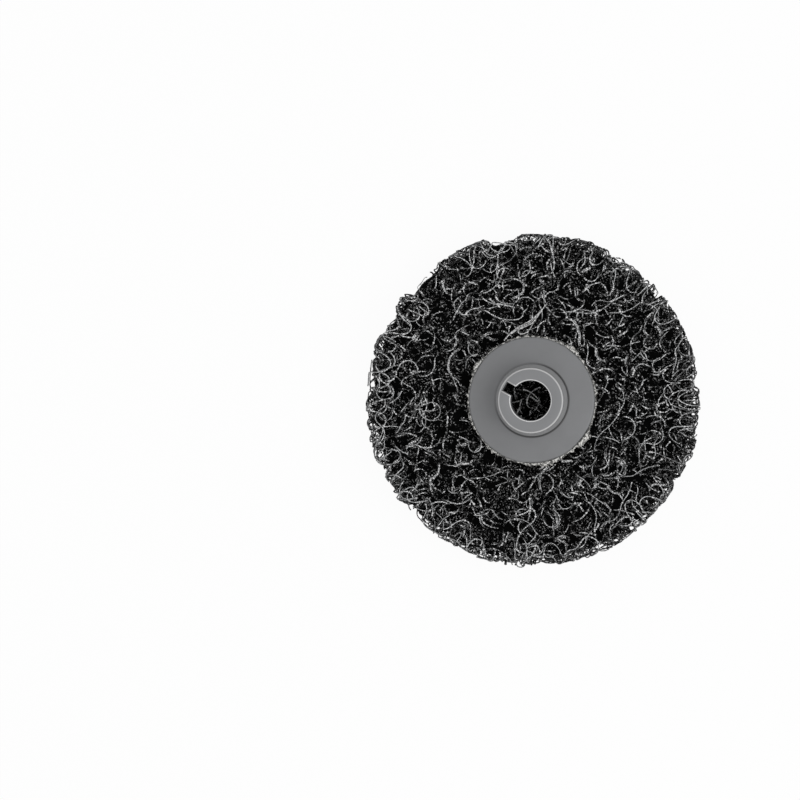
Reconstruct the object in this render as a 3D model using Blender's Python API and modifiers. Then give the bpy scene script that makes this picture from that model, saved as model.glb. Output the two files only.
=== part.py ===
# Surface conditioning disc: a thick mat of coarse crimped fibre, coated with
# abrasive grain, with a keyed plastic hub bonded into its back. It lies on its
# working face with the hub up. Units are metres and +Z points up.

import random
from math import cos, pi, radians, sin, sqrt

import bmesh
import bpy
from mathutils import Vector

# Fibre mat
DISC_RADIUS = 0.0375
MAT_THICKNESS = 0.0130
FACE_WAVE = 0.0003          # how far fibre crests lie below either face
RIM_WAVE = 0.0005           # slow in-and-out of the die-cut edge
RIM_TUFT = 0.00035          # fibre ends that stand in or out of that edge
PIT_DEPTH_LEAST = 0.0036
PIT_DEPTH_MOST = 0.0056
CREST_WIDTH = 0.0007        # of the fused fibres between two cells
CELL_COUNT = 660
CELL_TRIES = 12             # more tries make the cells more alike
SEED = 11

# Keyed hub
FLANGE_RADIUS = 0.0143
FLANGE_THICKNESS = 0.0016
FLANGE_ROUND = 0.0006
BOSS_FOOT_RADIUS = 0.0082
BOSS_TOP_RADIUS = 0.0073
BOSS_HEIGHT = 0.0080
BOSS_ROUND = 0.0004
FOOT_FILLET = 0.0003
BORE_RADIUS = 0.00455
BORE_CHAMFER = 0.0003
KEYWAY_WIDTH = 0.0023
KEYWAY_RADIUS = 0.0067      # from the axis to the keyway's floor
KEYWAY_ANGLE = radians(151)

# Bond between them
FLANGE_PROUD = 0.0008       # the flange's top face above the mat's back
BOND_THICKNESS = 0.0005
BOND_LIP_WIDTH = 0.0006     # squeezed out round the flange
BOND_LIP_BELOW_BACK = 0.0001
SEAT_GAP = 0.0003           # between faces that meet
BOND_WAVE = 0.0002          # how uneven the cured adhesive is
BOND_WAVE_LENGTH = 0.0015

# Facets
TURNED_STEPS = 64
ROUND_STEPS = 3
BOND_STEPS = 48
CUT_OVERRUN = 0.001         # how far a cutter runs past what it cuts

# Levels along the axis
FLANGE_TOP = MAT_THICKNESS + FLANGE_PROUD
FLANGE_BOTTOM = FLANGE_TOP - FLANGE_THICKNESS
BOSS_TOP = FLANGE_TOP + BOSS_HEIGHT
BOND_TOP = FLANGE_BOTTOM - SEAT_GAP
BOND_BOTTOM = BOND_TOP - BOND_THICKNESS
SEAT_LEVEL = BOND_BOTTOM - SEAT_GAP
WEB_UNDER_BORE = FLANGE_BOTTOM - SEAT_GAP
BOND_LIP_TOP = MAT_THICKNESS - BOND_LIP_BELOW_BACK

# Radii worked out from those above
SEAT_INNER_RADIUS = KEYWAY_RADIUS
BOND_INNER_RADIUS = SEAT_INNER_RADIUS + SEAT_GAP + BOND_WAVE
LIP_INNER_RADIUS = FLANGE_RADIUS + SEAT_GAP
LIP_OUTER_RADIUS = LIP_INNER_RADIUS + BOND_LIP_WIDTH
SEAT_OUTER_RADIUS = LIP_OUTER_RADIUS + BOND_WAVE + SEAT_GAP


def clear_scene():
    for old in list(bpy.data.objects):
        bpy.data.objects.remove(old, do_unlink=True)


def new_collection(name):
    collection = bpy.data.collections.new(name)
    bpy.context.scene.collection.children.link(collection)
    return collection


def material(name, colour, roughness, metallic=0.0):
    made = bpy.data.materials.new(name)
    made.use_nodes = True
    shader = made.node_tree.nodes["Principled BSDF"]
    shader.inputs["Base Color"].default_value = (*colour, 1.0)
    shader.inputs["Roughness"].default_value = roughness
    shader.inputs["Metallic"].default_value = metallic
    return made


def object_from(bm, name, collection, finish=None):
    mesh = bpy.data.meshes.new(name)
    bm.to_mesh(mesh)
    bm.free()
    made = bpy.data.objects.new(name, mesh)
    collection.objects.link(made)
    if finish:
        mesh.materials.append(finish)
    return made


def as_cutter(made):
    made.hide_render = True
    made.display_type = "WIRE"
    return made


def cut(target, cutter):
    boolean = target.modifiers.new("cut_" + cutter.name, "BOOLEAN")
    boolean.operation = "DIFFERENCE"
    boolean.object = cutter


def turned(name, profile, steps, collection, finish=None):
    # A closed outline of (radius, height) pairs, spun round the axis.
    bm = bmesh.new()
    ring = [bm.verts.new((radius, 0.0, height)) for radius, height in profile]
    for start, end in zip(ring, ring[1:] + ring[:1]):
        bm.edges.new((start, end))
    made = object_from(bm, name, collection, finish)
    screw = made.modifiers.new("spin", "SCREW")
    screw.steps = steps
    screw.render_steps = steps
    screw.use_merge_vertices = True
    screw.merge_threshold = 0.00001
    screw.use_smooth_shade = False
    return made


def quarter(centre, radius, start_deg, end_deg):
    # Points along an arc of a turned outline.
    points = []
    for step in range(ROUND_STEPS + 1):
        angle = radians(start_deg + (end_deg - start_deg) * step / ROUND_STEPS)
        points.append((centre[0] + radius * cos(angle), centre[1] + radius * sin(angle)))
    return points


def mat_point(direction):
    # Wraps a unit sphere round the disc so that every part of the sphere
    # covers a like share of the disc's two faces and rim.
    face_share = DISC_RADIUS / (2 * (DISC_RADIUS + MAT_THICKNESS))
    rim_share = 1 - 2 * face_share
    share = min(max((1 - direction.z) / 2, 0.0), 1.0)
    if share < face_share:
        radius = DISC_RADIUS * sqrt(share / face_share)
        height = MAT_THICKNESS
    elif share > 1 - face_share:
        radius = DISC_RADIUS * sqrt((1 - share) / face_share)
        height = 0.0
    else:
        radius = DISC_RADIUS
        height = MAT_THICKNESS * (1 - (share - face_share) / rim_share)
    flat = Vector((direction.x, direction.y, 0.0))
    if flat.length > 0:
        flat.normalize()
    return flat * radius + Vector((0.0, 0.0, height))


def rim_wave(point, phases):
    # The slow wobble of the cut edge, from a few whole waves round the disc.
    turn = Vector((1.0, 0.0)).angle_signed(point.xy, 0.0) if point.xy.length > 0 else 0.0
    waves = (5, 9, 14, 23)
    return sum(sin(count * turn + phase) for count, phase in zip(waves, phases)) / len(waves)


def inward(point):
    # The way from a point on the surface to the nearest point of the mat's middle.
    half = MAT_THICKNESS / 2
    core_radius = DISC_RADIUS - half
    flat = Vector((point.x, point.y, 0.0))
    if flat.length > core_radius:
        flat = flat.normalized() * core_radius
    return (flat + Vector((0.0, 0.0, half)) - point).normalized()


def scattered_directions(dice):
    # Directions from the centre, each the most open of a few random ones.
    chosen = [Vector((0.0, 0.0, -1.0))]
    while len(chosen) < CELL_COUNT:
        tries = []
        for _ in range(CELL_TRIES):
            height = dice.uniform(-1, 1)
            turn = dice.uniform(0, 2 * pi)
            reach = sqrt(1 - height * height)
            tries.append(Vector((reach * cos(turn), reach * sin(turn), height)))
        chosen.append(min(tries, key=lambda way: max(way.dot(other) for other in chosen)))
    return chosen


def cells_round(bm, directions):
    # The hull of the points is triangles, which give way to one cell round each point.
    points = [bm.verts.new(direction) for direction in directions]
    bmesh.ops.convex_hull(bm, input=points)
    sides = bm.edges[:]
    bmesh.ops.poke(bm, faces=bm.faces[:])
    bmesh.ops.rotate_edges(bm, edges=sides, use_ccw=True)
    bmesh.ops.dissolve_verts(bm, verts=points)


def ruffle_crests(bm, dice):
    # Lets fibre crests fall a little below the faces and wander at the rim.
    phases = [dice.uniform(0, 2 * pi) for _ in range(4)]
    for crest in bm.verts:
        at_rim = crest.co.xy.length > DISC_RADIUS - FACE_WAVE
        drop = dice.uniform(0, FACE_WAVE)
        tuft = dice.uniform(-RIM_TUFT, RIM_TUFT)
        if at_rim:
            reach = RIM_WAVE * rim_wave(crest.co, phases) + tuft
            outward = Vector((crest.co.x, crest.co.y, 0.0)).normalized()
            crest.co += outward * reach
        elif dice.random() < 0.5:
            crest.co += inward(crest.co) * drop


def sink_pits(bm, dice):
    # Every cell but the one on the axis below becomes a pit between its crests.
    closed_cell = min(bm.faces, key=lambda face: face.calc_center_median().length)
    pits = [face for face in bm.faces if face is not closed_cell]
    for crest in closed_cell.verts:
        crest.co.z = 0.0
    bmesh.ops.inset_individual(bm, faces=pits, thickness=CREST_WIDTH / 2, depth=0.0)
    for crest in bm.verts:
        crest.co.z = min(max(crest.co.z, 0.0), MAT_THICKNESS)
    floors = bmesh.ops.poke(bm, faces=pits)["verts"]
    for floor in floors:
        depth = dice.uniform(PIT_DEPTH_LEAST, PIT_DEPTH_MOST)
        floor.co += inward(floor.co) * depth


def fibre_mat(collection, cutters, finish):
    dice = random.Random(SEED)
    bm = bmesh.new()
    cells_round(bm, scattered_directions(dice))
    for corner in bm.verts:
        corner.co = mat_point(corner.co.normalized())
    ruffle_crests(bm, dice)
    sink_pits(bm, dice)
    bmesh.ops.triangulate(bm, faces=bm.faces[:])
    bmesh.ops.recalc_face_normals(bm, faces=bm.faces[:])
    mat = object_from(bm, "abrasive_web", collection, finish)
    seat_outline = [
        (0.0, MAT_THICKNESS + CUT_OVERRUN),
        (SEAT_OUTER_RADIUS, MAT_THICKNESS + CUT_OVERRUN),
        (SEAT_OUTER_RADIUS, SEAT_LEVEL),
        (SEAT_INNER_RADIUS, SEAT_LEVEL),
        (SEAT_INNER_RADIUS, WEB_UNDER_BORE),
        (0.0, WEB_UNDER_BORE),
    ]
    cut(mat, as_cutter(turned("hub_seat", seat_outline, BOND_STEPS, cutters)))
    return mat


def bond_ring(collection, finish):
    # The adhesive under the flange, with the lip that was squeezed out round it.
    outline = [
        (BOND_INNER_RADIUS, BOND_TOP),
        (LIP_INNER_RADIUS, BOND_TOP),
        (LIP_INNER_RADIUS, BOND_LIP_TOP),
        (LIP_OUTER_RADIUS, (BOND_LIP_TOP + BOND_TOP) / 2),
        (LIP_OUTER_RADIUS, BOND_BOTTOM),
        (BOND_INNER_RADIUS, BOND_BOTTOM),
    ]
    bond = turned("adhesive_bond", outline, BOND_STEPS, collection, finish)
    lumps = bpy.data.textures.new("adhesive_lumps", "CLOUDS")
    lumps.noise_scale = BOND_WAVE_LENGTH
    uneven = bond.modifiers.new("uneven", "DISPLACE")
    uneven.texture = lumps
    uneven.strength = BOND_WAVE
    return bond


def keyed_hub(collection, cutters, finish):
    fillet_centre = (BOSS_FOOT_RADIUS + FOOT_FILLET, FLANGE_TOP + FOOT_FILLET)
    round_centre = (BOSS_TOP_RADIUS - BOSS_ROUND, BOSS_TOP - BOSS_ROUND)
    edge_centre = (FLANGE_RADIUS - FLANGE_ROUND, FLANGE_TOP - FLANGE_ROUND)
    outline = [
        (BORE_RADIUS, BOSS_TOP - BORE_CHAMFER),
        (BORE_RADIUS + BORE_CHAMFER, BOSS_TOP),
        *quarter(round_centre, BOSS_ROUND, 90, 0),
        *quarter(fillet_centre, FOOT_FILLET, 180, 270),
        *quarter(edge_centre, FLANGE_ROUND, 90, 0),
        (FLANGE_RADIUS, FLANGE_BOTTOM),
        (BORE_RADIUS, FLANGE_BOTTOM),
    ]
    hub = turned("hub", outline, TURNED_STEPS, collection, finish)
    bm = bmesh.new()
    bmesh.ops.create_cube(bm, size=1.0)
    length = KEYWAY_RADIUS
    height = BOSS_TOP - FLANGE_BOTTOM + 2 * CUT_OVERRUN
    bmesh.ops.scale(bm, vec=(length, KEYWAY_WIDTH, height), verts=bm.verts[:])
    middle = Vector((length / 2, 0.0, (BOSS_TOP + FLANGE_BOTTOM) / 2))
    bmesh.ops.translate(bm, vec=middle, verts=bm.verts[:])
    keyway = as_cutter(object_from(bm, "keyway", cutters))
    keyway.rotation_euler.z = KEYWAY_ANGLE
    cut(hub, keyway)
    return hub


def main():
    clear_scene()
    disc = new_collection("surface_conditioning_disc")
    cutters = new_collection("cutters")
    fibre = material("coated_fibre", (0.035, 0.036, 0.038), 0.6)
    nylon = material("grey_nylon", (0.215, 0.22, 0.23), 0.42)
    glue = material("cured_adhesive", (0.12, 0.12, 0.115), 0.3)
    fibre_mat(disc, cutters, fibre)
    bond_ring(disc, glue)
    keyed_hub(disc, cutters, nylon)


main()
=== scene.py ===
# Surface conditioning disc: a lofty mat of coarse crimped fibre that carries
# abrasive grain, with a keyed grey nylon hub glued into its back.

import random
from math import atan2, cos, pi, radians, sin, sqrt

import bmesh
import bpy
from mathutils import Matrix, Quaternion, Vector, noise
from mathutils.geometry import interpolate_bezier


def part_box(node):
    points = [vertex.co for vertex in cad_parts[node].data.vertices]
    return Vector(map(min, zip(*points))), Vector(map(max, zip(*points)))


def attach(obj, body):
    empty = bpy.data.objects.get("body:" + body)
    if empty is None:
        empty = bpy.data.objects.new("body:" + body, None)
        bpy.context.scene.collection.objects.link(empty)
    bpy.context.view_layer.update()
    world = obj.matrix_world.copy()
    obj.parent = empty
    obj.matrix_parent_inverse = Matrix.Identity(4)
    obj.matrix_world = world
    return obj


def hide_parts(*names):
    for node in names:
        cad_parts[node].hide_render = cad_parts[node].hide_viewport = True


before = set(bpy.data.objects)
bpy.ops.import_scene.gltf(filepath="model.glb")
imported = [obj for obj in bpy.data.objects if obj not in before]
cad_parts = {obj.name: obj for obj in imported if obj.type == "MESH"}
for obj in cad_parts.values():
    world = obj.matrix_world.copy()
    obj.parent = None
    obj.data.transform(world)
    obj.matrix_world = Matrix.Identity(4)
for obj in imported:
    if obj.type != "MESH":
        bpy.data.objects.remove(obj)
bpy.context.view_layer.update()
scene = bpy.context.scene
scene.view_settings.view_transform = "Standard"
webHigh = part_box("abrasive_web")[1]
hubLow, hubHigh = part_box("hub")
matTop = webHigh.z
print("frame loaded:", sorted(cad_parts))


class Wire:
    # A socket that can be used in sums, which add their Math nodes.
    def __init__(self, nodes, socket):
        self.nodes = nodes
        self.socket = socket

    def maths(self, operation, first, second):
        return self.nodes.node("ShaderNodeMath", {"operation": operation}, {0: first, 1: second})

    def __add__(self, other):
        return self.maths("ADD", self, other)

    def __radd__(self, other):
        return self.maths("ADD", other, self)

    def __sub__(self, other):
        return self.maths("SUBTRACT", self, other)

    def __rsub__(self, other):
        return self.maths("SUBTRACT", other, self)

    def __mul__(self, other):
        return self.maths("MULTIPLY", self, other)

    def __rmul__(self, other):
        return self.maths("MULTIPLY", other, self)

    def most(self, other):
        return self.maths("MAXIMUM", self, other)

    def above(self, low, high, level=0.0):
        # 0 below the low value, 1 above the high one, both counted from the level
        return self.nodes.node(
            "ShaderNodeMapRange", {"interpolation_type": "SMOOTHSTEP"},
            {"Value": self, "From Min": level + low, "From Max": level + high})


class Nodes:
    # A node tree whose nodes are all added by one method.
    def __init__(self, tree):
        self.tree = tree

    def node(self, kind, settings, inputs, output=0):
        made = self.tree.nodes.new(kind)
        for name, value in settings.items():
            setattr(made, name, value)
        for name, value in inputs.items():
            if isinstance(value, Wire):
                self.tree.links.new(value.socket, made.inputs[name])
            else:
                made.inputs[name].default_value = value
        return Wire(self, made.outputs[output])

    def seenDirectly(self):
        # 1 for rays from the camera, a mirror or glass
        camera, mirror, glass = [
            self.node("ShaderNodeLightPath", {}, {}, ray)
            for ray in ("Is Camera Ray", "Is Glossy Ray", "Is Transmission Ray")]
        return camera.most(mirror).most(glass)

    def surface(self, output, shader):
        self.tree.links.new(shader.socket, self.tree.nodes[output].inputs["Surface"])


class Finish(Nodes):
    # A Principled material.
    def __init__(self, name, **plain):
        self.material = bpy.data.materials.new(name)
        self.material.use_nodes = True
        super().__init__(self.material.node_tree)
        self.shader = self.tree.nodes["Principled BSDF"]
        for socket, value in plain.items():
            self.shader.inputs[socket.replace("_", " ")].default_value = value
        self.place = self.node("ShaderNodeTexCoord", {}, {}, "Object")

    def noise(self, size, detail=2.0, roughness=0.5):
        # size is the length of one lump in metres
        return self.node(
            "ShaderNodeTexNoise", {},
            {"Vector": self.place, "Scale": 1 / size, "Detail": detail, "Roughness": roughness})

    def vectors(self, operation, first, second, output=0):
        return self.node(
            "ShaderNodeVectorMath", {"operation": operation}, {0: first, 1: second}, output)

    def height(self):
        return self.vectors("DOT_PRODUCT", self.place, (0, 0, 1), "Value")

    def reach(self):
        # how far a point is from the disc's axis
        flat = self.vectors("MULTIPLY", self.place, (1, 1, 0))
        return self.vectors("LENGTH", flat, (0, 0, 0), "Value")

    def facing(self):
        # how far a surface faces up, down and, near the rim, outwards, each squared
        normal = self.node("ShaderNodeNewGeometry", {}, {}, "Normal")
        up = self.vectors("DOT_PRODUCT", normal, (0, 0, 1), "Value")
        flat = self.vectors("MULTIPLY", self.place, (1 / webHigh.x, 1 / webHigh.x, 0))
        away = self.vectors("DOT_PRODUCT", normal, flat, "Value")
        ways = [way.most(0) for way in (up, 0 - up, away)]
        return [way * way for way in ways]

    def mix(self, share, first, second):
        return self.node(
            "ShaderNodeMix", {"data_type": "RGBA"}, {0: share, 6: first, 7: second}, 2)

    def bump(self, height, depth):
        return self.node("ShaderNodeBump", {}, {"Height": height, "Distance": depth})

    def set(self, **links):
        for socket, wire in links.items():
            self.tree.links.new(wire.socket, self.shader.inputs[socket.replace("_", " ")])
        return self.material


def grey(level, tint=(1.0, 1.0, 1.0)):
    return (level * tint[0], level * tint[1], level * tint[2], 1.0)


fibreLook = {
    # painted shade: the colour of fibres deep in the mat, where little light reaches
    "deep": grey(0.002),
    "resin": grey(0.020, (1.0, 1.0, 1.02)),
    # pale dust, shown only as a painted highlight along the fibre's outer side
    "dustAndHighlight": grey(0.74, (0.98, 1.0, 1.01)),
    # painted glints on flecks of grain, bright near the surface and dimmer deeper down
    "glint": grey(0.95),
    "deepGlint": grey(0.22),
    "flank": 0.88,
    "spine": 1.22,
    "spineGrain": 0.5,
    "patchSize": 0.0030,
    "patchRange": (0.25, 0.65),
    "patchDust": 0.3,
    "streakSize": 0.0008,
    "streakRange": (0.35, 0.60),
    "streakDust": 0.4,
    "grainSize": 0.00018,
    "grainRange": (0.35, 0.65),
    "grainDust": 0.5,
    "grainDepth": 0.00005,
    "fleckSize": 0.000288,
    "fleckRange": (0.585, 0.615),
    "dullest": 0.82,
    "polish": 0.30,
    "polishRange": (0.3, 0.7),
    "paleDepth": 0.0002,
    "darkDepth": 0.0020,
    "rimShade": 0.0003,
    # painted shade near the rim: the next value weakens the painted highlight there, the one after
    # darkens the glints
    "rimDrop": 0.45,
    "rimShadeShare": 0.85,
    "boreShade": 0.0013,
    "boreReach": (0.0045, 0.0055),
}
tapeLook = {**fibreLook, "resin": grey(0.10), "dustAndHighlight": grey(0.80)}
knotLook = {
    **fibreLook,
    "resin": grey(0.55),
    "dustAndHighlight": grey(0.98),
    "flank": 0.40,
    "spine": 0.80,
    "darkDepth": 0.0032,
}
# painted light: the bore's fibres get pale colours, standing in for light that the deep bore keeps
# from them
boreLook = {**knotLook, "resin": grey(0.75), "boreShade": 0.0018}


def nearness(finish, look):
    # How near a point is to the mat's back, its working face and its rim; the materials paint shade
    # by it, darker the deeper a point lies. In the hub's bore it counts as nearer the back than it
    # is, so that its fibres show with less painted shade.
    height = finish.height()
    reach = finish.reach()
    inBore = 1 - reach.above(*look["boreReach"])
    # painted light: in the bore a point counts as nearer the back, so its fibres get less painted
    # shade
    fromBack = matTop - height - inBore * look["boreShade"]
    fromRim = webHigh.x + look["rimShade"] - reach
    return [
        1 - depth.above(look["paleDepth"], look["darkDepth"])
        for depth in (fromBack, height, fromRim)]


def coatedFibreMaterial(look):
    # Dark resin, painted darker the deeper it lies (painted shade), with pale dust that shows only as
    # a painted highlight along the fibre's outer side, and bright flecks of grain painted as glints.
    finish = Finish("coatedFibre", Roughness=0.42, Specular_IOR_Level=0.12)
    patches = finish.noise(look["patchSize"], 2.0)
    streaks = finish.noise(look["streakSize"], 1.0)
    grain = finish.noise(look["grainSize"], 2.0, 0.6)
    flecks = finish.noise(look["fleckSize"], 1.0)
    nearBack, nearFace, nearRim = nearness(finish, look)
    up, down, away = finish.facing()
    # painted highlight: the spine is the part of a fibre that faces out of the mat near its surface,
    # and only there does the pale dust colour show
    backSpine, faceSpine, rimSpine = [
        (facing + grain * look["spineGrain"]).above(look["flank"], look["spine"]) * near
        for facing, near in ((up, nearBack), (down, nearFace), (away, nearRim))]
    # painted shade: near the rim the painted highlight is weakened
    spine = backSpine.most(faceSpine).most(rimSpine) * (1 - nearRim * look["rimDrop"])
    dust = patches.above(*look["patchRange"]) * look["patchDust"] + (
        streaks.above(*look["streakRange"]) * look["streakDust"]) + (
        grain.above(*look["grainRange"]) * look["grainDust"])
    # painted shade: resin deep in the mat, or on a side turned into it, goes to the deep colour
    near = nearBack.most(nearFace * down).most(nearRim * away)
    colour = finish.mix(near, look["deep"], look["resin"])
    # painted highlight: pale dust along the spines that face out
    colour = finish.mix(dust * spine, colour, look["dustAndHighlight"])
    # painted glints: the flecks are bright near the surface and, as painted shade, dimmer deep in the
    # mat
    glint = finish.mix(near, look["deepGlint"], look["glint"])
    # painted shade: near the rim the glints go towards the resin's dark
    glint = finish.mix(nearRim * look["rimShadeShare"], glint, look["resin"])
    colour = finish.mix(flecks.above(*look["fleckRange"]), colour, glint)
    return finish.set(
        Base_Color=colour,
        Roughness=look["dullest"] - grain.above(*look["polishRange"]) * look["polish"],
        Normal=finish.bump(grain, look["grainDepth"]))


coreLook = {
    # painted shade: near-black for depths the light hardly reaches
    "dark": grey(0.0005),
    "speck": grey(0.42),
    "tangleSize": 0.00045,
    "tangleRange": (0.59, 0.625),
    "patchSize": 0.0030,
    "patchRange": (0.42, 0.58),
}


def innerFibreMaterial(look):
    # Nearly black, as painted shade for depths the light hardly reaches, with patches of small pale
    # specks.
    finish = Finish("innerFibre", Roughness=0.8, Specular_IOR_Level=0.05)
    tangle = finish.noise(look["tangleSize"], 2.0, 0.7)
    patches = finish.noise(look["patchSize"], 1.0)
    share = tangle.above(*look["tangleRange"]) * patches.above(*look["patchRange"])
    return finish.set(Base_Color=finish.mix(share, look["dark"], look["speck"]))


grainLook = {
    # painted shade: the colour of crystals deep in the mat
    "deep": grey(0.30),
    "dark": grey(0.12),
    "bright": grey(0.95),
    "patchSize": 0.0006,
    "patchRange": (0.46, 0.56),
    "paleDepth": 0.0010,
    "darkDepth": 0.0050,
    "rimShade": 0.0003,
    # painted shade: how far crystals are darkened near the rim
    "rimShadeShare": 0.7,
    "boreShade": 0.0013,
    "boreReach": (0.0045, 0.0055),
}


def grainMaterial(look):
    # Glassy crystals, dark and bright ones, with painted shade that greys them deep in the mat and
    # darkens them at its rim.
    finish = Finish("abrasiveGrain", Roughness=0.2)
    patches = finish.noise(look["patchSize"], 1.0)
    colour = finish.mix(patches.above(*look["patchRange"]), look["dark"], look["bright"])
    nearBack, nearFace, nearRim = nearness(finish, look)
    down, away = finish.facing()[1:]
    near = nearBack.most(nearFace * down).most(nearRim * away)
    # painted shade: crystals deep in the mat, or on sides turned into it, go to the deep grey
    colour = finish.mix(near, look["deep"], colour)
    # painted shade: near the rim the crystals are darkened
    return finish.set(Base_Color=finish.mix(nearRim * look["rimShadeShare"], colour, look["dark"]))


hub = {
    "boreRadius": 0.00455,
    "boreRound": (0.0003, 3),
    "bossRadius": 0.0073,
    "bossRound": (0.0004, 4),
    "bossTop": hubHigh.z,
    "footRadius": 0.0082,
    "footRound": (0.0003, 3),
    "flangeRadius": hubHigh.x,
    "flangeRound": (0.0006, 4),
    "flangeTop": 0.0138,
    "flangeBottom": hubLow.z,
    "keywayWidth": 0.0023,
    "keywayReach": 0.0067,
    "keywayAngle": radians(151),
    "keywayFlare": 0.0003,
    "sharpAngle": radians(40),
    "steps": 180,
}
hubLook = {
    "colour": grey(0.190, (0.985, 1.0, 1.03)),
    "mottled": grey(0.178, (0.985, 1.0, 1.03)),
    "mottleSize": 0.006,
    "mottleRange": (0.35, 0.70),
    # painted light: the top of the boss is painted a little paler, where light falls on it more fully
    "top": grey(0.208, (0.985, 1.0, 1.03)),
    "topRise": (-0.0004, 0.0),  # from the top of the boss
    # painted highlights: pale colours on the rounded edges of the boss's top and the bore's lip
    "edge": grey(0.50),
    "edgeRise": (-0.0006, -0.0003),
    "edgeEnd": (-0.00004, -0.00001),
    "lip": grey(0.78),
    "lipReach": (0.0049, 0.0053),
    # painted light: how far the boss's wall is painted towards the highlight colour
    "wallShare": 0.3,
    "wallReach": (0.0, 0.0003),
    "wallRise": (0.0006, 0.0012),  # from the top of the flange
    "crevice": grey(0.03),
    "creviceReach": 0.0001,
    "creviceWidth": 0.0004,
    "creviceRise": (0.0002, 0.0006),
    "creviceLeast": 0.25,
    "leeSide": (0.8, -0.6, 0.0),
    "leeReach": (-0.0074, 0.0008),
    "roughness": 0.36,
    "roughSpread": 0.2,
    "mouldSize": 0.00035,
    "mouldDepth": 0.000012,
}


def band(wire, centre, halfWidth):
    # 1 where the wire is near the centre, 0 past the half width
    return wire.above(centre - halfWidth, centre - 0.3 * halfWidth) * (
        1 - wire.above(centre + 0.3 * halfWidth, centre + halfWidth))


def hubMaterial(look):
    # Grey moulded plastic, with painted highlights along its edges, painted light on the boss's top
    # and wall, and a painted shadow line at the boss's foot.
    finish = Finish("greyNylon", Roughness=0.45)
    mottle = finish.noise(look["mottleSize"], 3.0)
    skin = finish.noise(look["mouldSize"], 3.0)
    height = finish.height()
    reach = finish.reach()
    colour = finish.mix(mottle.above(*look["mottleRange"]), look["colour"], look["mottled"])
    # painted light: a paler colour on the boss's top
    top = height.above(*look["topRise"], hub["bossTop"])
    colour = finish.mix(top, colour, look["top"])
    # painted light: the boss's wall is painted partly towards the highlight colour
    wall = reach.above(*look["wallReach"], hub["bossRadius"]) * (
        height.above(*look["wallRise"], hub["flangeTop"]))
    # painted highlights on the rounded edges at the boss's top and the bore's lip
    edges = height.above(*look["edgeRise"], hub["bossTop"]) * (
        1 - height.above(*look["edgeEnd"], hub["bossTop"]))
    edge = finish.mix(reach.above(*look["lipReach"]), look["lip"], look["edge"])
    colour = finish.mix(wall * look["wallShare"] + edges, colour, edge)
    lee = finish.vectors("DOT_PRODUCT", finish.place, look["leeSide"], "Value")
    shadow = look["creviceLeast"] + lee.above(*look["leeReach"]) * (1 - look["creviceLeast"])
    crevice = band(reach, hub["footRadius"] + look["creviceReach"], look["creviceWidth"]) * (
        1 - height.above(*look["creviceRise"], hub["flangeTop"])) * shadow
    colour = finish.mix(crevice, colour, look["crevice"])
    return finish.set(
        Base_Color=colour,
        Roughness=look["roughness"] + skin * look["roughSpread"],
        Normal=finish.bump(skin, look["mouldDepth"]))


glueLook = {
    "clear": grey(0.05, (1.0, 1.0, 0.96)),
    "pale": grey(0.72, (1.0, 0.99, 0.95)),
    "lumpSize": 0.0006,
    "lumpRange": (0.40, 0.55),
    "lumpDepth": 0.0001,
    "speckSize": 0.0003,
    "speckRange": (0.42, 0.52),
    "paleLeast": 0.25,
}


def glueMaterial(look):
    # Cured adhesive, milky in lumps and specks and clear between them.
    finish = Finish("curedAdhesive", Roughness=0.3)
    lumps = finish.noise(look["lumpSize"], 2.0)
    specks = finish.noise(look["speckSize"], 2.0, 0.6)
    share = lumps.above(*look["lumpRange"]) * (
        look["paleLeast"] + specks.above(*look["speckRange"]) * (1 - look["paleLeast"]))
    colour = finish.mix(share, look["clear"], look["pale"])
    return finish.set(Base_Color=colour, Normal=finish.bump(lumps, look["lumpDepth"]))


def finished(name, mesh, material, node):
    # Puts a finished mesh in the scene as a piece that stands for a node of the frame.
    piece = bpy.data.objects.new(name, mesh)
    scene.collection.objects.link(piece)
    mesh.materials.clear()
    mesh.materials.append(material)
    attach(piece, "root")
    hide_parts(node)
    triangles = sum(len(face.vertices) - 2 for face in mesh.polygons)
    print(name, "with", triangles, "triangles")


def meshOf(maker):
    # The mesh that an object with curves or modifiers comes to, and the object goes.
    bpy.context.view_layer.update()
    graph = bpy.context.evaluated_depsgraph_get()
    mesh = bpy.data.meshes.new_from_object(maker.evaluated_get(graph))
    bpy.data.objects.remove(maker)
    return mesh


def meshFrom(bm, name):
    mesh = bpy.data.meshes.new(name)
    bm.to_mesh(mesh)
    bm.free()
    return mesh


def objectFrom(bm, name):
    made = bpy.data.objects.new(name, meshFrom(bm, name))
    scene.collection.objects.link(made)
    return made


def welded(mesh, smooth=True):
    bm = bmesh.new()
    bm.from_mesh(mesh)
    bmesh.ops.remove_doubles(bm, verts=bm.verts, dist=0.000001)
    bmesh.ops.recalc_face_normals(bm, faces=bm.faces)
    for face in bm.faces:
        face.smooth = smooth
    bm.to_mesh(mesh)
    bm.free()
    return mesh


def strandMesh(name, strands, smooth=True):
    # Strands are lists of (point, radius); each becomes a closed tube.
    curve = bpy.data.curves.new(name, "CURVE")
    curve.dimensions = "3D"
    curve.bevel_depth = 1.0
    curve.bevel_resolution = 0
    curve.use_fill_caps = True
    for strand in strands:
        spline = curve.splines.new("POLY")
        spline.points.add(len(strand) - 1)
        for along, (point, radius) in zip(spline.points, strand):
            along.co = (*point, 1.0)
            along.radius = radius
    maker = bpy.data.objects.new(name, curve)
    scene.collection.objects.link(maker)
    return welded(meshOf(maker), smooth)


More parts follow.
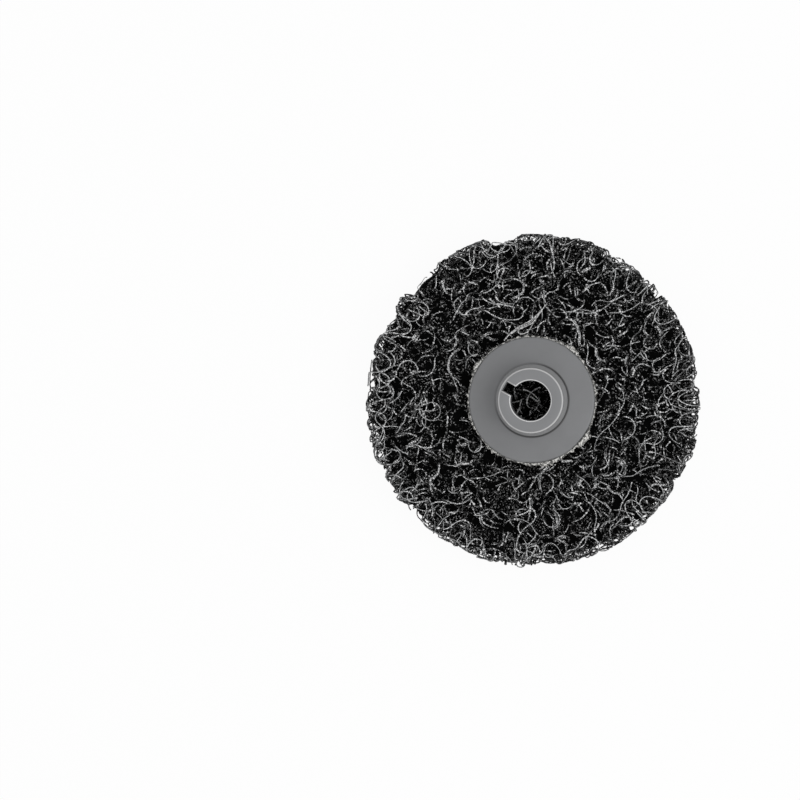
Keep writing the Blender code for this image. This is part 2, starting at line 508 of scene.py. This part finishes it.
web = {
    "seed": 5,
    "strands": {"back": (325, 325, 325), "face": (350, 350, 350), "rim": (240, 240, 240)},
    "strandLength": (0.010, 0.026),
    "shortest": 3,  # in steps
    "step": 0.00045,
    "fibreRadius": (0.00011, 0.00020),
    "radiusSpread": (0.86, 1.14),
    "beadShare": 0.05,  # of the steps have a bead of resin
    "beadSwell": 1.5,
    "tightestCurl": 0.0015,  # radius of the bend
    "widestCurl": 0.0200,
    "changeEvery": 0.0042,  # the length that keeps one curl and one depth
    "changeSpread": (0.4, 1.6),
    "axisLean": 0.5,  # of a curl's axis, away from the mat's normal
    "wander": 0.14,
    "shallowShare": 0.32,
    "shallow": (0.0001, 0.0009),  # depths that a fibre makes for
    "deep": (0.0008, 0.0050),
    "liftOver": 0.003,  # the less, the sooner a fibre is at its depth
    "steepest": 0.30,
    "sameWay": 0.7,
    "margin": 0.0006,  # how close to a limit a fibre starts to turn
    "turnBack": 1.1,
    "cutShare": 0.7,  # of the steps at the rim end the fibre
    "cutNear": 1.5,
    "tapeShare": 0.13,  # of the fibres have a second one beside them
    "tapeShortest": 9,
    "tapeGap": 1.7,  # between their middles, in radii
    "crowdSize": 0.0015,
    "crowdMost": 11,
    "startTurns": 10000,  # golden angles, from the middle to the edge
    "startJitter": 0.05,
    "startReach": 0.99,
    "startInset": 0.0006,
    "boreSeed": 4,
    "boreStrands": 7,
    "boreThin": 0.62,
    "boreShare": 0.013,  # of the back that they start on
    "sectors": 90,
    "rimExtra": 0.00030,
    "rimRaggedness": 0.00048,
    "rimWaves": 380,
    "rimNotch": 0.0052,
    "notchWaves": 170,
    "notchStretch": 0.3,
    "notchLevel": 0.2,
    "faceRaggedness": 0.0006,
    "faceWaves": 260,
    "floorClear": 1.6,  # in radii
    "flangeClear": 0.0001,
    "seatClear": 0.0003,
}


def rimRadii(node):
    # How far the mat reaches in each direction round the axis.
    sectors = web["sectors"]
    widest = [0.0] * sectors
    for vert in node.data.vertices:
        sector = int(atan2(vert.co.y, vert.co.x) / (2 * pi) % 1 * sectors) % sectors
        widest[sector] = max(widest[sector], vert.co.xy.length)
    return [
        (widest[n - 1] + 2 * widest[n] + widest[(n + 1) % sectors]) / 4 for n in range(sectors)]


rimReach = rimRadii(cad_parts["abrasive_web"])


def rimAt(point):
    # The ragged edge: the CAD mat's reach there, with notches and a finer unevenness.
    sectors = web["sectors"]
    turn = atan2(point.y, point.x) / (2 * pi) % 1 * sectors - 0.5
    low = int(turn // 1)
    share = turn - low
    reach = rimReach[low % sectors] * (1 - share) + rimReach[(low + 1) % sectors] * share
    stretched = Vector((point.x, point.y, web["notchStretch"] * point.z))
    notch = max(0.0, noise.noise(stretched * web["notchWaves"]) - web["notchLevel"])
    ragged = web["rimRaggedness"] * noise.noise(point * web["rimWaves"])
    return reach + web["rimExtra"] - web["rimNotch"] * notch + ragged


def outward(point):
    flat = Vector((point.x, point.y, 0.0))
    return flat.normalized() if flat.length > 0 else Vector((1.0, 0.0, 0.0))


def upward(point):
    return Vector((0.0, 0.0, 1.0))


def downward(point):
    return Vector((0.0, 0.0, -1.0))


def limits(point, clear):
    # (room left, direction of the limit) for the back, the working face, the rim and
    # the hub with its seat, of which only the nearer side counts.
    radius = point.xy.length
    uneven = web["faceRaggedness"] * max(0.0, noise.noise(point * web["faceWaves"]))
    up = upward(point)
    radial = outward(point)
    room = [
        (matTop - uneven - clear - point.z, up),
        (point.z - uneven - web["floorClear"] * clear, -up),
        (rimAt(point) - clear - radius, radial),
    ]
    outside = radius - hub["flangeRadius"] - clear - web["flangeClear"]
    below = hub["flangeBottom"] - clear - web["seatClear"] - point.z
    room.append((outside, -radial) if outside > below else (below, up))
    return room


def leastRoom(point, clear):
    return min(space for space, way in limits(point, clear))


def randomWay(dice):
    return Vector([dice.gauss(0, 1) for _ in range(3)]).normalized()


def wantedDepth(dice):
    return dice.uniform(*web["shallow" if dice.random() < web["shallowShare"] else "deep"])


def crowded(crowd, point):
    # Counts the point in its small cube of the mat, which holds only so many.
    cube = tuple(round(place / web["crowdSize"]) for place in point)
    crowd[cube] = crowd.get(cube, 0) + 1
    return crowd[cube] > web["crowdMost"]


def curlyStrand(dice, start, zone, crowd):
    # One fibre, which curls as it goes, dives and comes up again, and stops at a crowd
    # of others or where the rim cuts it.
    step = web["step"]
    steepest = web["steepest"]
    fibreRadius = dice.uniform(*web["fibreRadius"])
    point = start.copy()
    heading = randomWay(dice)
    left = 0.0
    strand = []
    for _ in range(int(dice.uniform(*web["strandLength"]) / step)):
        normal = zone(point)
        left -= step
        if left < 0:
            left = dice.uniform(*web["changeSpread"]) * web["changeEvery"]
            curl = dice.uniform(1 / web["widestCurl"], 1 / web["tightestCurl"])
            lean = web["axisLean"]
            axis = (normal * dice.choice((-1, 1)) + lean * randomWay(dice)).normalized()
            depthWanted = wantedDepth(dice)
        axis = (axis + web["wander"] * randomWay(dice)).normalized()
        heading.rotate(Quaternion(axis, curl * step))
        room = limits(point, fibreRadius)
        depths = [space for space, way in room if way.dot(normal) > web["sameWay"]]
        depth = min(depths or [depthWanted])
        lift = (depth - depthWanted) / web["liftOver"]
        heading += normal * min(max(lift, -steepest), steepest)
        for space, way in room:
            towards = heading.dot(way)
            if space < web["margin"] and towards > 0:
                heading -= way * towards * min(1.0, web["turnBack"] - space / web["margin"])
        heading.normalize()
        point += heading * step
        for space, way in limits(point, fibreRadius):
            if space < 0:
                point += way * space
        swell = web["beadSwell"] if dice.random() < web["beadShare"] else 1.0
        strand.append((point.copy(), fibreRadius * dice.uniform(*web["radiusSpread"]) * swell))
        toRim = rimAt(point) - point.xy.length
        atRim = zone is not outward and toRim < web["cutNear"] * fibreRadius
        if crowded(crowd, point) or atRim and dice.random() < web["cutShare"]:
            break
    return strand


def startOn(dice, zone, share, depth):
    # Starting points spread evenly over one side of the mat; share runs from 0 to 1.
    jitter = web["startJitter"]
    turn = share * pi * (3 - sqrt(5)) * web["startTurns"] + dice.uniform(-jitter, jitter)
    if zone is outward:
        reach = rimAt(Vector((cos(turn), sin(turn), 0.0))) - depth
        level = dice.uniform(web["startInset"], matTop - web["startInset"])
    else:
        reach = webHigh.x * sqrt(share) * web["startReach"]
        level = matTop - depth if zone is upward else depth
    return Vector((reach * cos(turn), reach * sin(turn), level))


def beside(strand, zone):
    # A second fibre fused along part of the first, so that the two make a flat tape.
    part = strand[len(strand) // 3:]
    twin = []
    for (point, radius), (ahead, _) in zip(part, part[1:]):
        side = (ahead - point).cross(zone(point)).normalized()
        twin.append((point + side * web["tapeGap"] * radius, radius))
    return twin


def strandsOn(dice, zone, count, crowd, part=1.0):
    # part is how much of the side they start on, from its middle
    strands = []
    for number in range(count):
        start = startOn(dice, zone, part * (number + dice.random()) / count, wantedDepth(dice))
        if leastRoom(start, web["fibreRadius"][1]) > 0:
            strand = curlyStrand(dice, start, zone, crowd)
            if len(strand) > web["shortest"]:
                strands.append(strand)
            if len(strand) > web["tapeShortest"] and dice.random() < web["tapeShare"]:
                twin = beside(strand, zone)
                if all(leastRoom(point, radius) > 0 for point, radius in twin):
                    strands.append(twin)
    return strands


def fibres(look):
    # The mat's fibres, and the few that show at the bottom of the hub's bore.
    dice = random.Random(look["seed"])
    material = coatedFibreMaterial(fibreLook)
    inMat = []
    crowd = {}
    for side, zone in (("rim", outward), ("back", upward), ("face", downward)):
        for batch, count in zip("ABC", look["strands"][side]):
            strands = strandsOn(dice, zone, count, crowd)
            name = side + "Fibres" + batch
            finished(name, strandMesh(name, strands), material, "abrasive_web")
            inMat += strands
    dice = random.Random(look["boreSeed"])
    inBore = [
        [(point, radius * look["boreThin"]) for point, radius in strand]
        for strand in strandsOn(dice, upward, look["boreStrands"], {}, look["boreShare"])]
    finished(
        "boreFibres", strandMesh("boreFibres", inBore), coatedFibreMaterial(boreLook),
        "abrasive_web")
    return inMat, inBore


tape = {
    "seed": 21,
    "scale": 0.001,
    "line": (
        ((3.6, 22.2), (1.8, 20.0), (0.6, 18.2), (-0.8, 17.4)),
        ((-0.8, 17.4), (-2.8, 16.5), (-5.2, 15.6), (-6.7, 12.9))),
    "loop": (
        ((0.7, 18.7), (0.3, 17.0), (-1.0, 14.9), (-2.3, 15.0)),
        ((-2.3, 15.0), (-4.2, 15.2), (-2.6, 16.6), (-0.8, 17.4))),
    "lineSides": (-0.00042, -0.00006, 0.00030),
    "depth": 0.00025,
    "radius": 0.00013,
    "thinnest": 0.7,
    "thickest": 1.3,
    "swell": 0.5,
    "wobble": 0.4,
    "points": 14,
}


def tapeStrand(dice, look, arcs, offset):
    # One fibre along the arcs, which stands off to its side in the middle.
    height = matTop - look["depth"]
    way = []
    for arc in arcs:
        corners = [Vector((across, along, 0)) * look["scale"] for across, along in arc]
        points = interpolate_bezier(*corners, look["points"])
        way += points[1:] if way else points  # an arc starts where the last one ends
    strand = []
    for number, (point, ahead) in enumerate(zip(way, way[1:])):
        spread = sin(pi * number / (len(way) - 1)) ** 2
        side = (ahead - point).cross(upward(point)).normalized()
        place = point + Vector((0, 0, height)) + side * offset * spread
        wobble = randomWay(dice) * look["radius"] * look["wobble"]
        width = dice.uniform(look["thinnest"], look["thickest"] + look["swell"] * spread)
        strand.append((place + wobble, look["radius"] * width))
    return strand


def fusedTape(look):
    # A wide tape of fused fibres with a loop, on the back beside the hub.
    dice = random.Random(look["seed"])
    strands = [tapeStrand(dice, look, look["line"], offset) for offset in look["lineSides"]]
    strands.append(tapeStrand(dice, look, look["loop"], 0.0))
    finished(
        "fusedTape", strandMesh("fusedTape", strands), coatedFibreMaterial(tapeLook),
        "abrasive_web")


core = {
    "lowRadius": 0.0357,
    "highRadius": 0.0365,
    "bottom": 0.0034,
    "top": 0.0092,
    "segments": 96,
    "voxel": 0.0010,
    "lumps": 0.0016,
    "lumpSize": 0.0028,
}


def darkCore(look):
    # The fibres too deep to be told apart, as one dark lumpy mass; its near-black colour is painted
    # shade.
    bm = bmesh.new()
    bmesh.ops.create_cone(
        bm, cap_ends=True, segments=look["segments"], radius1=look["lowRadius"],
        radius2=look["highRadius"], depth=look["top"] - look["bottom"])
    bmesh.ops.translate(bm, vec=(0, 0, (look["top"] + look["bottom"]) / 2), verts=bm.verts)
    maker = objectFrom(bm, "innerFibres")
    remesh = maker.modifiers.new("even", "REMESH")
    remesh.mode = "VOXEL"
    remesh.voxel_size = look["voxel"]
    lumps = bpy.data.textures.new("coreLumps", "CLOUDS")
    lumps.noise_scale = look["lumpSize"]
    rough = maker.modifiers.new("rough", "DISPLACE")
    rough.texture = lumps
    rough.strength = look["lumps"]
    finished(
        "innerFibres", welded(meshOf(maker)), innerFibreMaterial(coreLook),
        "abrasive_web")


knot = {
    "seed": 13,
    "count": 4500,
    "inBore": 40,
    "deepest": 0.0030,
    "size": (0.00016, 0.00030),
    "shape": ((-1.0, 0.0), (-0.6, 0.8), (0.5, 0.9), (1.0, 0.0)),
    "clusterSize": 0.0022,
    "clusterLevel": 0.12,
}


def knots(name, strands, count, look, finishLook):
    # Drops of resin on the fibres, gathered in clusters.
    dice = random.Random(look["seed"])
    places = [place for strand in strands for place in strand]
    drops = []
    while len(drops) < count:
        point, radius = dice.choice(places)
        size = dice.uniform(*look["size"])
        clustered = noise.noise(point / look["clusterSize"]) > look["clusterLevel"]
        if clustered and 0 < leastRoom(point, size) < look["deepest"]:
            lean = randomWay(dice) * size
            drops.append([(point + lean * along, size * width) for along, width in look["shape"]])
    finished(
        name, strandMesh(name, drops), coatedFibreMaterial(finishLook),
        "abrasive_web")


grain = {
    "seed": 8,
    "counts": (16000, 16000),
    "size": (0.00008, 0.00020),
    "shape": ((-1.0, 0.0), (0.0, 1.0), (1.0, 0.0)),
    "standOff": 0.8,
}


def grains(strands, look):
    # Crystals stuck to the fibres: short tubes with a fat middle and pointed ends.
    dice = random.Random(look["seed"])
    material = grainMaterial(grainLook)
    places = [place for strand in strands for place in strand]
    for batch, count in zip("AB", look["counts"]):
        crystals = []
        while len(crystals) < count:
            point, radius = dice.choice(places)
            size = dice.uniform(*look["size"])
            middle = point + randomWay(dice) * radius * look["standOff"]
            lean = randomWay(dice) * size
            if leastRoom(middle, size) > 0:
                crystals.append(
                    [(middle + lean * along, size * width) for along, width in look["shape"]])
        name = "abrasiveGrains" + batch
        finished(
            name, strandMesh(name, crystals, smooth=False), material,
            "abrasive_web")


def spun(outline, steps):
    # A closed outline of (radius, height) pairs, turned into a solid round the axis.
    bm = bmesh.new()
    ring = [bm.verts.new((radius, 0.0, height)) for radius, height in outline]
    for start, end in zip(ring, ring[1:] + ring[:1]):
        bm.edges.new((start, end))
    bmesh.ops.spin(
        bm, geom=bm.verts[:] + bm.edges[:], axis=(0, 0, 1), cent=(0, 0, 0), angle=2 * pi,
        steps=steps, use_merge=True)
    bmesh.ops.remove_doubles(bm, verts=bm.verts, dist=0.000001)
    bmesh.ops.recalc_face_normals(bm, faces=bm.faces)
    return bm


def roundRing(bm, radius, height, width, segments):
    # Rounds the circular edge at that radius and height.
    ring = [
        edge for edge in bm.edges
        if all(abs(end.co.xy.length - radius) < 1e-5 and abs(end.co.z - height) < 1e-5
               for end in edge.verts)]
    bmesh.ops.bevel(
        bm, geom=ring, offset=width, offset_type="OFFSET", segments=segments, profile=0.5,
        affect="EDGES", material=-1)


def keywayCutter(look):
    # A bar along the keyway, which flares at the top to bevel the keyway's mouth.
    bm = bmesh.new()
    half = look["keywayWidth"] / 2
    flare = look["keywayFlare"]
    neck = look["bossTop"] - flare
    mouth = look["bossTop"] + flare
    profile = [
        (-half, 0.0), (half, 0.0), (half, neck),
        (half + 2 * flare, mouth), (-half - 2 * flare, mouth), (-half, neck)]
    side = bm.faces.new([bm.verts.new((0.0, across, height)) for across, height in profile])
    pulled = bmesh.ops.extrude_face_region(bm, geom=[side])["geom"]
    far = [part for part in pulled if isinstance(part, bmesh.types.BMVert)]
    bmesh.ops.translate(bm, vec=(look["keywayReach"], 0, 0), verts=far)
    bmesh.ops.recalc_face_normals(bm, faces=bm.faces)
    bmesh.ops.rotate(
        bm, cent=(0, 0, 0), matrix=Matrix.Rotation(look["keywayAngle"], 3, "Z"), verts=bm.verts)
    return objectFrom(bm, "keywayCutter")


def nylonHub(look):
    # A flange and a tapered boss round the bore, with one keyway.
    bm = spun([
        (look["boreRadius"], look["bossTop"]),
        (look["bossRadius"], look["bossTop"]),
        (look["footRadius"], look["flangeTop"]),
        (look["flangeRadius"], look["flangeTop"]),
        (look["flangeRadius"], look["flangeBottom"]),
        (look["boreRadius"], look["flangeBottom"]),
    ], look["steps"])
    for edge, level in (
            ("bore", "bossTop"), ("boss", "bossTop"), ("foot", "flangeTop"), ("flange", "flangeTop")):
        roundRing(bm, look[edge + "Radius"], look[level], *look[edge + "Round"])
    maker = objectFrom(bm, "hubBody")
    cutter = keywayCutter(look)
    cut = maker.modifiers.new("keyway", "BOOLEAN")
    cut.operation = "DIFFERENCE"
    cut.object = cutter
    mesh = welded(meshOf(maker))
    bpy.data.objects.remove(cutter)
    mesh.set_sharp_from_angle(angle=look["sharpAngle"])
    finished("hubBody", mesh, hubMaterial(hubLook), "hub")


crust = {
    "steps": 360,
    "inner": 0.0072,
    "bedBottom": 0.0114,
    "bedTop": 0.0119,
    "lipIn": 0.00002,
    "lipOut": 0.00038,
    "lipTop": 0.0135,
    "crownDrop": 0.0001,
    "shoulderDrop": 0.0006,
    "lumpSize": 0.0007,
    "lumpHeight": 0.00055,
    "fineSize": 0.0003,
    "fineShare": 0.5,
    "thickPlaces": {  # at these degrees round the hub, by so much
        -37: 0.00100, -73: 0.00075, -90: 0.00045, 10: 0.00015, 50: 0.00060, 148: 0.00060,
        200: 0.00035, 231: 0.00035},
    "thickWidth": 8,
    "thinness": 0.00016,
    "thinnest": 0.00006,
    "mostRise": 0.0004,
    "slack": 0.0001,
}


def thickness(look, point):
    # How much the bead swells at the places where more adhesive came out.
    swell = -look["thinness"]
    for degrees, height in look["thickPlaces"].items():
        away = Vector((cos(radians(degrees)), sin(radians(degrees)))).angle(point.xy)
        swell += height / (1 + (away / radians(look["thickWidth"])) ** 4)
    return swell


def glueCrust(look):
    # The bed of adhesive under the flange and the uneven bead that it left round it.
    lipIn = hub["flangeRadius"] + look["lipIn"]
    lipOut = hub["flangeRadius"] + look["lipOut"]
    bm = spun([
        (look["inner"], look["bedTop"]),
        (lipIn, look["bedTop"]),
        (lipIn, look["lipTop"]),
        ((lipIn + lipOut) / 2, look["lipTop"] - look["crownDrop"]),
        (lipOut, look["lipTop"] - look["shoulderDrop"]),
        (lipOut, look["bedBottom"]),
        (look["inner"], look["bedBottom"]),
    ], look["steps"])
    for vert in bm.verts:
        onLip = vert.co.xy.length > lipIn - look["slack"]
        if onLip and vert.co.z > look["bedTop"] + look["slack"]:
            coarse = noise.noise(vert.co / look["lumpSize"])
            fine = noise.noise(vert.co / look["fineSize"])
            lump = look["lumpHeight"] * (coarse + look["fineShare"] * fine)
            swell = thickness(look, vert.co)
            share = (vert.co.xy.length - lipIn) / (lipOut - lipIn)
            growth = max(lump + swell, look["thinnest"] - lipOut + lipIn)
            vert.co += outward(vert.co) * share * growth
            vert.co.z += min(lump + swell, look["mostRise"])
    finished(
        "adhesiveCrust", welded(meshFrom(bm, "adhesiveCrust")), glueMaterial(glueLook),
        "adhesive_bond")


view = {
    "lens": 150.0,
    "sensor": 36.0,
    "clip": (0.01, 10.0),
    "distance": 0.7559,
    "leanX": 0.0277,
    "leanY": 0.0106,
    "aimX": -0.0300,
    "aimY": 0.0000,
}


def camera(look):
    # Looks nearly straight down, with the disc to the right of the middle.
    data = bpy.data.cameras.new("camera")
    data.lens = look["lens"]
    data.sensor_width = look["sensor"]
    data.clip_start, data.clip_end = look["clip"]
    made = bpy.data.objects.new("camera", data)
    scene.collection.objects.link(made)
    aim = Vector((look["aimX"], look["aimY"], matTop))
    place = Vector((look["leanX"], look["leanY"], matTop + look["distance"]))
    back = (place - aim).normalized()
    right = Vector((0.0, 1.0, 0.0)).cross(back).normalized()
    turn = Matrix((right, back.cross(right), back)).transposed().to_4x4()
    made.matrix_world = Matrix.Translation(place) @ turn
    scene.camera = made


def areaLamp(name, place, target, size, watts):
    data = bpy.data.lights.new(name, "AREA")
    data.shape = "DISK"
    data.size = size
    data.energy = watts
    made = bpy.data.objects.new(name, data)
    scene.collection.objects.link(made)
    made.location = place
    made.rotation_euler = (Vector(target) - Vector(place)).to_track_quat("-Z", "Y").to_euler()


light = {
    "white": grey(1.0),
    "world": 0.70,
    "floorSize": 1.5,
    "floorColour": grey(0.86),
    "floorWhite": 0.95,
    "keyPlace": (0.31, -0.08, 0.50),
    "keySize": 0.42,
    "keyWatts": 1.0,
}


def studio(look):
    # Soft light from all round and one lamp, over a floor that shows white but takes shadow.
    world = bpy.data.worlds.new("studio")
    scene.world = world
    world.use_nodes = True
    sky = Nodes(world.node_tree)
    glow, backdrop = [
        sky.node("ShaderNodeBackground", {}, {"Color": look["white"], "Strength": strength})
        for strength in (look["world"], 1.0)]
    sky.surface("World Output", sky.node(
        "ShaderNodeMixShader", {}, {0: sky.seenDirectly(), 1: glow, 2: backdrop}))

    bm = bmesh.new()
    bmesh.ops.create_grid(bm, x_segments=1, y_segments=1, size=look["floorSize"])
    floor = objectFrom(bm, "floor")
    paper = Finish("paleFloor", Roughness=0.9, Base_Color=look["floorColour"])
    plain = Wire(paper, paper.shader.outputs[0])
    lit = paper.node("ShaderNodeEmission", {}, {"Color": look["white"]})
    share = paper.seenDirectly() * look["floorWhite"]
    paper.surface("Material Output", paper.node(
        "ShaderNodeMixShader", {}, {0: share, 1: plain, 2: lit}))
    floor.data.materials.append(paper.material)

    areaLamp("keyLamp", look["keyPlace"], (0, 0, matTop), look["keySize"], look["keyWatts"])


camera(view)
studio(light)
print("camera and lights set")
matStrands, boreStrands = fibres(web)
fusedTape(tape)
darkCore(core)
knots("resinKnots", matStrands, knot["count"], knot, knotLook)
knots("boreKnots", boreStrands, knot["inBore"], knot, boreLook)
grains(matStrands + boreStrands, grain)
print("mat made")
nylonHub(hub)
glueCrust(crust)
print("hub and adhesive made")
